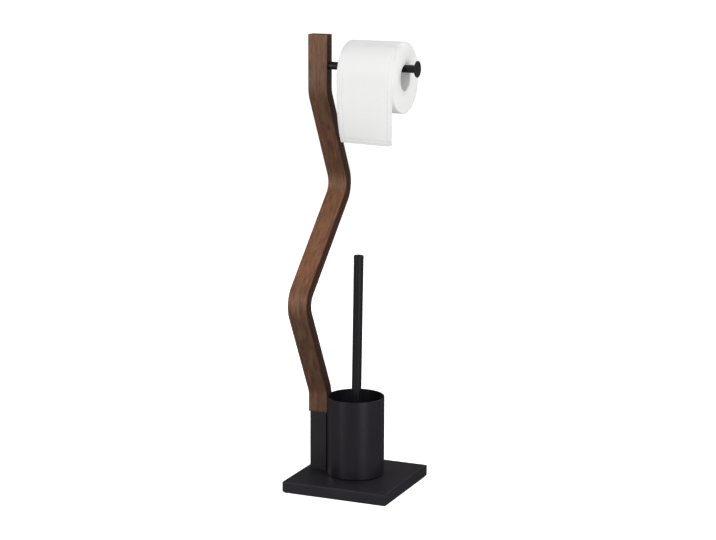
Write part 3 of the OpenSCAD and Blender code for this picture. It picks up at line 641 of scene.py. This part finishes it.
def buildCore():
    material, tree, shader = newMaterial("greyCardboard", core["colour"])
    place = addNode(tree, "ShaderNodeTexCoord").outputs["Object"]
    fibres = addNode(tree, "ShaderNodeTexNoise", None,
                     {"Scale": 1 / (core["fibreMm"] * mm), "Detail": 5.0}, {"Vector": place})
    stops = [(0.35, core["fleck"]), (0.6, core["colour"])]
    tone = addNode(tree, "ShaderNodeValToRGB", {"stops": stops}, None, {"Fac": fibres.outputs["Fac"]})
    bump = addNode(tree, "ShaderNodeBump", None,
                   {"Strength": core["bumpStrength"], "Distance": core["depthMm"] * mm},
                   {"Height": fibres.outputs["Fac"]})
    tree.links.new(tone.outputs["Color"], shader.inputs["Base Color"])
    tree.links.new(bump.outputs["Normal"], shader.inputs["Normal"])
    shader.inputs["Roughness"].default_value = core["roughness"]
    theta = np.arange(core["around"]) * 2 * math.pi / core["around"]
    cosine, sine = np.cos(theta), np.sin(theta)
    rows = []
    xs = np.linspace(roll["left"], roll["right"], core["along"])
    for x in xs:
        phase = ((x - roll["left"]) / core["seamPitch"] - theta / (2 * math.pi)) % 1.0
        away = np.minimum(phase, 1 - phase) * core["seamPitch"]
        radius = core["inner"] + core["seamDepth"] * np.clip(1 - away / core["seamWidth"], 0, 1)
        rows.append(np.stack([np.full_like(theta, x), radius * cosine, radius * sine], 1))
    for x in xs[::-1]:
        rows.append(np.stack([np.full_like(theta, x), core["outer"] * cosine, core["outer"] * sine], 1))
    points = np.concatenate(rows)
    points[:, 2] += roll["axisZ"]
    return meshPiece("cardboardCore", points, loopFaces(len(rows), core["around"]), material)


cardboardCore = buildCore()
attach(cardboardCore, "roll")
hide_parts("roll_core")
print("core done")


# The loose sheet: it leaves the top of the roll, lies on its front and hangs to its torn edge.
# Lines are pressed into it beside its long edges and above its torn one
tail = {"wrap": 66.0, "hang": 107.5, "gap": 0.45, "tuck": -0.25, "thickness": 0.28, "curl": 18.0,
        "stand": 0.5, "straight": 0.3, "shift": 0.9, "crimps": (0.6, 3.4, 8.8),
        "footCrimps": (0.5, 3.5, 8.0), "crimpDepth": 0.3, "crimpWidth": 1.0, "crimpFade": 40.0,
        "cornerMm": 11.0, "cornerLift": 2.2, "cornerBack": 2.4, "fineMm": 0.55, "coarseMm": 1.6,
        "edgeMm": 12.0, "nibPitch": 7.0, "nibWidth": 0.9, "nibLength": 0.7, "ripple": 0.35,
        "rippleTurns": (9, 5)}


# Places from start to end, close together near the chosen edges
def spread(start, end, fineStart, fineEnd):
    places = [start]
    while places[-1] < end - 0.01:
        nearStart = fineStart and places[-1] < start + tail["edgeMm"]
        nearEnd = fineEnd and places[-1] > end - tail["edgeMm"]
        places.append(min(end, places[-1] + tail["fineMm" if nearStart or nearEnd else "coarseMm"]))
    return np.array(places)


def pressed(away, lines):
    return tail["crimpDepth"] * sum(np.exp(-((away - line) / tail["crimpWidth"]) ** 2) for line in lines)


def buildTail():
    width = roll["right"] - roll["left"]
    across = spread(0, width, True, True)
    down = np.concatenate([spread(-tail["wrap"], 0, False, False)[:-1],
                           spread(0, tail["hang"], False, True)])
    u = across / width
    side = pressed(np.minimum(across, width - across), tail["crimps"])
    corner = np.clip(1 - (width - across) / tail["cornerMm"], 0, 1) ** 2
    layers, crimps = [], []
    for skin in (0, 1):
        rows = []
        for s in down:
            foot = pressed(tail["hang"] - s, tail["footCrimps"])
            crimps.append((side * min(1.0, max(0.0, s / tail["crimpFade"])) + foot) / tail["crimpDepth"])
            if s < 0:
                share = -s / tail["wrap"]
                gap = tail["gap"] + (tail["tuck"] - tail["gap"]) * share ** 2 * (3 - 2 * share)
                radius = roll["radius"] + gap + skin * tail["thickness"] - side
                angle = -s / roll["radius"]
                y, z = -radius * math.cos(angle), roll["axisZ"] + radius * math.sin(angle)
            else:
                drop = max(0.0, s / tail["hang"] - tail["straight"]) / (1 - tail["straight"])
                y = -(roll["radius"] + tail["gap"]) - tail["stand"] * u * math.sin(math.pi / 2 * drop)
                y = y + tail["curl"] * (1 - u) * drop ** 2 - skin * tail["thickness"]
                wave = np.sin(u * tail["rippleTurns"][0] + drop * tail["rippleTurns"][1])
                y = y + tail["ripple"] * drop * wave * np.sin(math.pi * u)
                turnedUp = corner * max(0.0, 1 - (tail["hang"] - s) / tail["cornerMm"]) ** 2
                y = y + side + foot + tail["cornerBack"] * turnedUp
                z = roll["axisZ"] - s + tail["cornerLift"] * turnedUp
            x = roll["left"] + tail["shift"] + across
            rows.append(np.stack([x, y, np.broadcast_to(z, y.shape)], 1))
        away = np.abs((across % tail["nibPitch"]) - tail["nibPitch"] / 2)
        rows[-1][:, 2] += tail["nibLength"] * (1 - np.clip(1 - away / tail["nibWidth"], 0, 1))
        layers.append(np.concatenate(rows))
    points = np.concatenate(layers)
    rowCount, columns = len(down), len(across)
    half = rowCount * columns
    back = gridFaces(rowCount, columns, closed=False)
    front = [(d + half, c + half, b + half, a + half) for a, b, c, d in back]
    rim = ([c for c in range(columns)] + [r * columns + columns - 1 for r in range(1, rowCount)]
           + [(rowCount - 1) * columns + c for c in range(columns - 2, -1, -1)]
           + [r * columns for r in range(rowCount - 2, 0, -1)])
    edge = [(b, a, a + half, b + half) for a, b in zip(rim, rim[1:] + rim[:1])]
    piece = meshPiece("looseSheet", points, back + front + edge, looseTissue)
    # Where the lines are pressed: greyer paper, with painted shade for their grooves
    attribute = piece.data.attributes.new("crimp", "FLOAT", "POINT")
    attribute.data.foreach_set("value", np.clip(np.concatenate(crimps), 0, 1).astype(np.float32))
    return piece


looseSheet = buildTail()
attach(looseSheet, "loose_sheet")
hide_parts("roll_tail")
looseSheet.visible_shadow = False  # two plies of tissue hold back so little light
print("sheet done")


# Nylon bristles in tufts on the moulded head, in the brush's own frame, in millimetres. Drawn nylon
# is smooth, so every filament has a thin light line along it and the tufts look a little silky
brush = {"place": (-0.95, 0, 22.0), "lean": 0.8, "columns": 28, "rings": 11, "bodyRadius": 11.0,
         "bodyTop": 72.0, "domeZ": 25.0, "domeAngles": (12.0, 36.0, 60.0, 84.0),
         "domeCounts": (28, 21, 14, 6), "domeTurn": 0.25, "noseAngle": 60.0, "reach": 38.6,
         "domeReach": 0.6, "lowest": 0.6, "noseGap": 0.6, "floorGap": 0.3, "crownLift": 5.0,
         "crownShare": 0.12, "strands": 13, "rootSpread": 0.8, "sunk": 0.4, "tipSpread": 2.72,
         "uneven": 2.2, "rootRadius": 0.23, "tipRadius": 0.15, "bend": 0.54, "sides": 3,
         "shares": (0, 0.3, 0.55, 0.8, 1), "toneMm": 1.5, "roughness": 0.38,
         "colour": "#e4e4e0", "shade": "#cfcfca", "seed": 23}


def buildBristles():
    material, tree, shader = newMaterial("nylonFilament", brush["colour"])
    place = addNode(tree, "ShaderNodeTexCoord").outputs["Object"]
    patches = addNode(tree, "ShaderNodeTexNoise", None,
                      {"Scale": 1 / (brush["toneMm"] * mm), "Detail": 2.0}, {"Vector": place})
    stops = [(0.35, brush["shade"]), (0.65, brush["colour"])]
    tone = addNode(tree, "ShaderNodeValToRGB", {"stops": stops}, None, {"Fac": patches.outputs["Fac"]})
    tree.links.new(tone.outputs["Color"], shader.inputs["Base Color"])
    shader.inputs["Roughness"].default_value = brush["roughness"]
    rng = np.random.default_rng(brush["seed"])
    roots, tips = [], []
    step = (brush["bodyTop"] - brush["domeZ"]) / brush["rings"]
    for k in range(brush["rings"]):
        up = max(0.0, 1 - (k + 0.5) / brush["rings"])
        z = brush["bodyTop"] - (k + 0.5) * step
        reach = brush["reach"] * (1 - brush["crownShare"] * up ** 4)
        for j in range(brush["columns"]):
            angle = 2 * math.pi * (j + 0.5 * (k % 2)) / brush["columns"]
            way = np.array([math.cos(angle), math.sin(angle), 0])
            roots.append(way * brush["bodyRadius"] + np.array([0, 0, z]))
            tips.append(way * reach + np.array([0, 0, z + brush["crownLift"] * up ** 2]))
    nose = math.sin(math.radians(brush["noseAngle"]))
    fall = brush["domeZ"] - brush["lowest"] - brush["noseGap"]
    for degrees, count in zip(brush["domeAngles"], brush["domeCounts"]):
        dip = math.radians(degrees)
        for j in range(count):
            angle = 2 * math.pi * (j + brush["domeTurn"]) / count
            way = np.array([math.cos(angle), math.sin(angle), 0])
            roots.append(way * brush["bodyRadius"] * math.cos(dip)
                         + np.array([0, 0, brush["domeZ"] - brush["bodyRadius"] * math.sin(dip)]))
            low = brush["domeZ"] - fall * min(1.0, math.sin(dip) / nose)
            tips.append(way * brush["reach"] * math.cos(dip) ** brush["domeReach"] + np.array([0, 0, low]))
    roots, tips = [np.repeat(np.array(ends), brush["strands"], 0) for ends in (roots, tips)]
    count = len(roots)
    outward = tips - roots
    outward /= np.linalg.norm(outward, axis=1)[:, None]
    side = np.cross(outward, [0, 0, 1.0])
    side /= np.maximum(np.linalg.norm(side, axis=1)[:, None], 1e-6)
    rise = np.cross(side, outward)
    spin = rng.uniform(0, 2 * math.pi, count)
    away = np.sqrt(rng.uniform(0, 1, count))
    fan = (np.cos(spin) * away)[:, None] * side + (np.sin(spin) * away)[:, None] * rise
    roots = roots + fan * brush["rootSpread"] - outward * brush["sunk"]
    tips = tips + fan * brush["tipSpread"] - outward * rng.uniform(0, brush["uneven"], count)[:, None]
    flat = np.hypot(tips[:, 0], tips[:, 1])
    tips[:, :2] *= np.minimum(1, brush["reach"] / np.maximum(flat, 1e-6))[:, None]
    floor = brush["lowest"] + brush["floorGap"]
    tips[:, 2] = np.maximum(tips[:, 2], floor)
    bow = side * rng.normal(0, 1, count)[:, None] + rise * rng.normal(0, 1, count)[:, None]
    rings = []
    for share in brush["shares"]:
        centre = roots + (tips - roots) * share + bow * brush["bend"] * math.sin(math.pi * share)
        centre[:, 2] = np.maximum(centre[:, 2], floor)
        radius = brush["rootRadius"] + (brush["tipRadius"] - brush["rootRadius"]) * share
        for corner in range(brush["sides"]):
            turn = 2 * math.pi * corner / brush["sides"]
            rings.append(centre + (side * math.cos(turn) + rise * math.sin(turn)) * radius)
    points = np.stack(rings, 1).reshape(-1, 3)
    faces = []
    for first in range(0, len(points), len(rings)):
        faces += gridFaces(len(brush["shares"]), brush["sides"], first=first)
        faces.append(tuple(reversed(range(first, first + brush["sides"]))))
        faces.append(tuple(range(first + len(rings) - brush["sides"], first + len(rings))))
    piece = meshPiece("nylonBristles", points, faces, material)
    place = Matrix.Translation(Vector(brush["place"]) * mm)
    piece.data.transform(place @ Matrix.Rotation(math.radians(brush["lean"]), 4, "Y"))
    return piece


nylonBristles = buildBristles()
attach(nylonBristles, "brush")
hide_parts("bristles")
print("bristles done")


# Plain pale floor that runs up into a backdrop; it is clear from below, for views of the underside
stage = {"radius": 14.0, "rise": 10.0, "curve": 4.0, "rings": (0.01, 2, 6), "around": 96,
         "colour": "#f4f4f4", "glow": 0.85}


def buildStage():
    flat, curve = stage["radius"] - stage["curve"], stage["curve"]
    profile = [(r, 0) for r in stage["rings"]] + [(flat, 0)]
    profile += [(flat + curve * math.sin(math.radians(a)), curve * (1 - math.cos(math.radians(a))))
                for a in range(10, 91, 10)]
    profile.append((stage["radius"], stage["rise"]))
    around = stage["around"]
    points = [(r * math.cos(2 * math.pi * j / around) / mm, r * math.sin(2 * math.pi * j / around) / mm,
               h / mm) for r, h in profile for j in range(around)]
    faces = [f[::-1] for f in gridFaces(len(profile), around)] + [tuple(range(around))]
    material, tree, shader = newMaterial("paleBackdrop", stage["colour"])
    shader.inputs["Base Color"].default_value = linear(stage["colour"])
    shader.inputs["Roughness"].default_value = 1.0
    shader.inputs["Specular IOR Level"].default_value = 0.0
    shader.inputs["Emission Color"].default_value = linear(stage["colour"])
    shader.inputs["Emission Strength"].default_value = stage["glow"]
    side = addNode(tree, "ShaderNodeNewGeometry")
    clear = addNode(tree, "ShaderNodeBsdfTransparent")
    oneSided = addNode(tree, "ShaderNodeMixShader", None, None,
                       {0: side.outputs["Backfacing"], 1: shader.outputs["BSDF"],
                        2: clear.outputs["BSDF"]})
    tree.links.new(oneSided.outputs["Shader"], tree.nodes["Material Output"].inputs["Surface"])
    floor = meshPiece("paleFloor", points, faces, material)
    floor.visible_diffuse = False
    floor.visible_glossy = False
    floor.visible_shadow = False
    return floor


buildStage()
print("backdrop done")

# Soft studio light: a large softbox at the front left and one at the right, weaker ones overhead, at
# the left and behind, and a pale room that is dimmer behind the stand, which keeps the black steel
# black. The two tall strips at the front draw the soft bands on the cup and the handle.
# A level is the light that falls on a sheet of paper at the aim
softboxes = {
    "keySoftbox": {"place": (-0.75, -1.75, 0.95), "aim": (0, 0, 0.5), "size": 1.3, "level": 0.24},
    "fillSoftbox": {"place": (1.85, -0.5, 1.2), "aim": (0, 0, 0.5), "size": 1.3, "level": 0.38},
    "topSoftbox": {"place": (0.1, -0.2, 2.3), "aim": (0, 0, 0.5), "size": 1.0, "level": 0.14},
    "sideSoftbox": {"place": (-2.0, 0.7, 1.0), "aim": (0, 0, 0.45), "size": 1.2, "level": 0.32},
    "backSoftbox": {"place": (0.5, 1.7, 1.9), "aim": (0, 0, 0.45), "size": 1.2, "level": 0.18},
    "rightStrip": {"place": (1.45, -1.1, 0.45), "aim": (0, 0, 0.45), "size": 0.75, "tall": 1.5,
                   "level": 0.24},
    "leftStrip": {"place": (-0.95, -1.55, 0.45), "aim": (0, 0, 0.45), "size": 0.3, "tall": 1.5,
                  "level": 0.12},
}
room = {"brightSide": (0.35, -0.93, -0.1), "wall": 0.44, "dim": 0.12, "from": -0.8, "to": 0.4}

for name, box in softboxes.items():
    data = bpy.data.lights.new(name, "AREA")
    data.shape = "RECTANGLE" if "tall" in box else "DISK"
    data.size = box["size"]
    data.size_y = box.get("tall", box["size"])
    place, target = Vector(box["place"]), Vector(box["aim"])
    reach = (target - place).length
    data.energy = box["level"] * (math.pi * reach) ** 2
    lamp = bpy.data.objects.new(name, data)
    bpy.context.scene.collection.objects.link(lamp)
    facing = (target - place).to_track_quat("-Z", "Y").to_matrix().to_4x4()
    lamp.matrix_world = Matrix.Translation(place) @ facing

world = bpy.data.worlds.new("paleRoom")
bpy.context.scene.world = world
world.use_nodes = True
sky = world.node_tree
direction = addNode(sky, "ShaderNodeTexCoord").outputs["Generated"]
towards = addNode(sky, "ShaderNodeVectorMath", {"operation": "DOT_PRODUCT"}, {1: room["brightSide"]},
                  {0: direction})
level = addNode(sky, "ShaderNodeMapRange", {"interpolation_type": "SMOOTHSTEP"},
                {"From Min": room["from"], "From Max": room["to"],
                 "To Min": room["dim"], "To Max": room["wall"]}, {"Value": towards.outputs["Value"]})
sky.links.new(level.outputs["Result"], sky.nodes["Background"].inputs["Strength"])
sky.nodes["Background"].inputs["Color"].default_value = (1, 1, 1, 1)
print("light done")
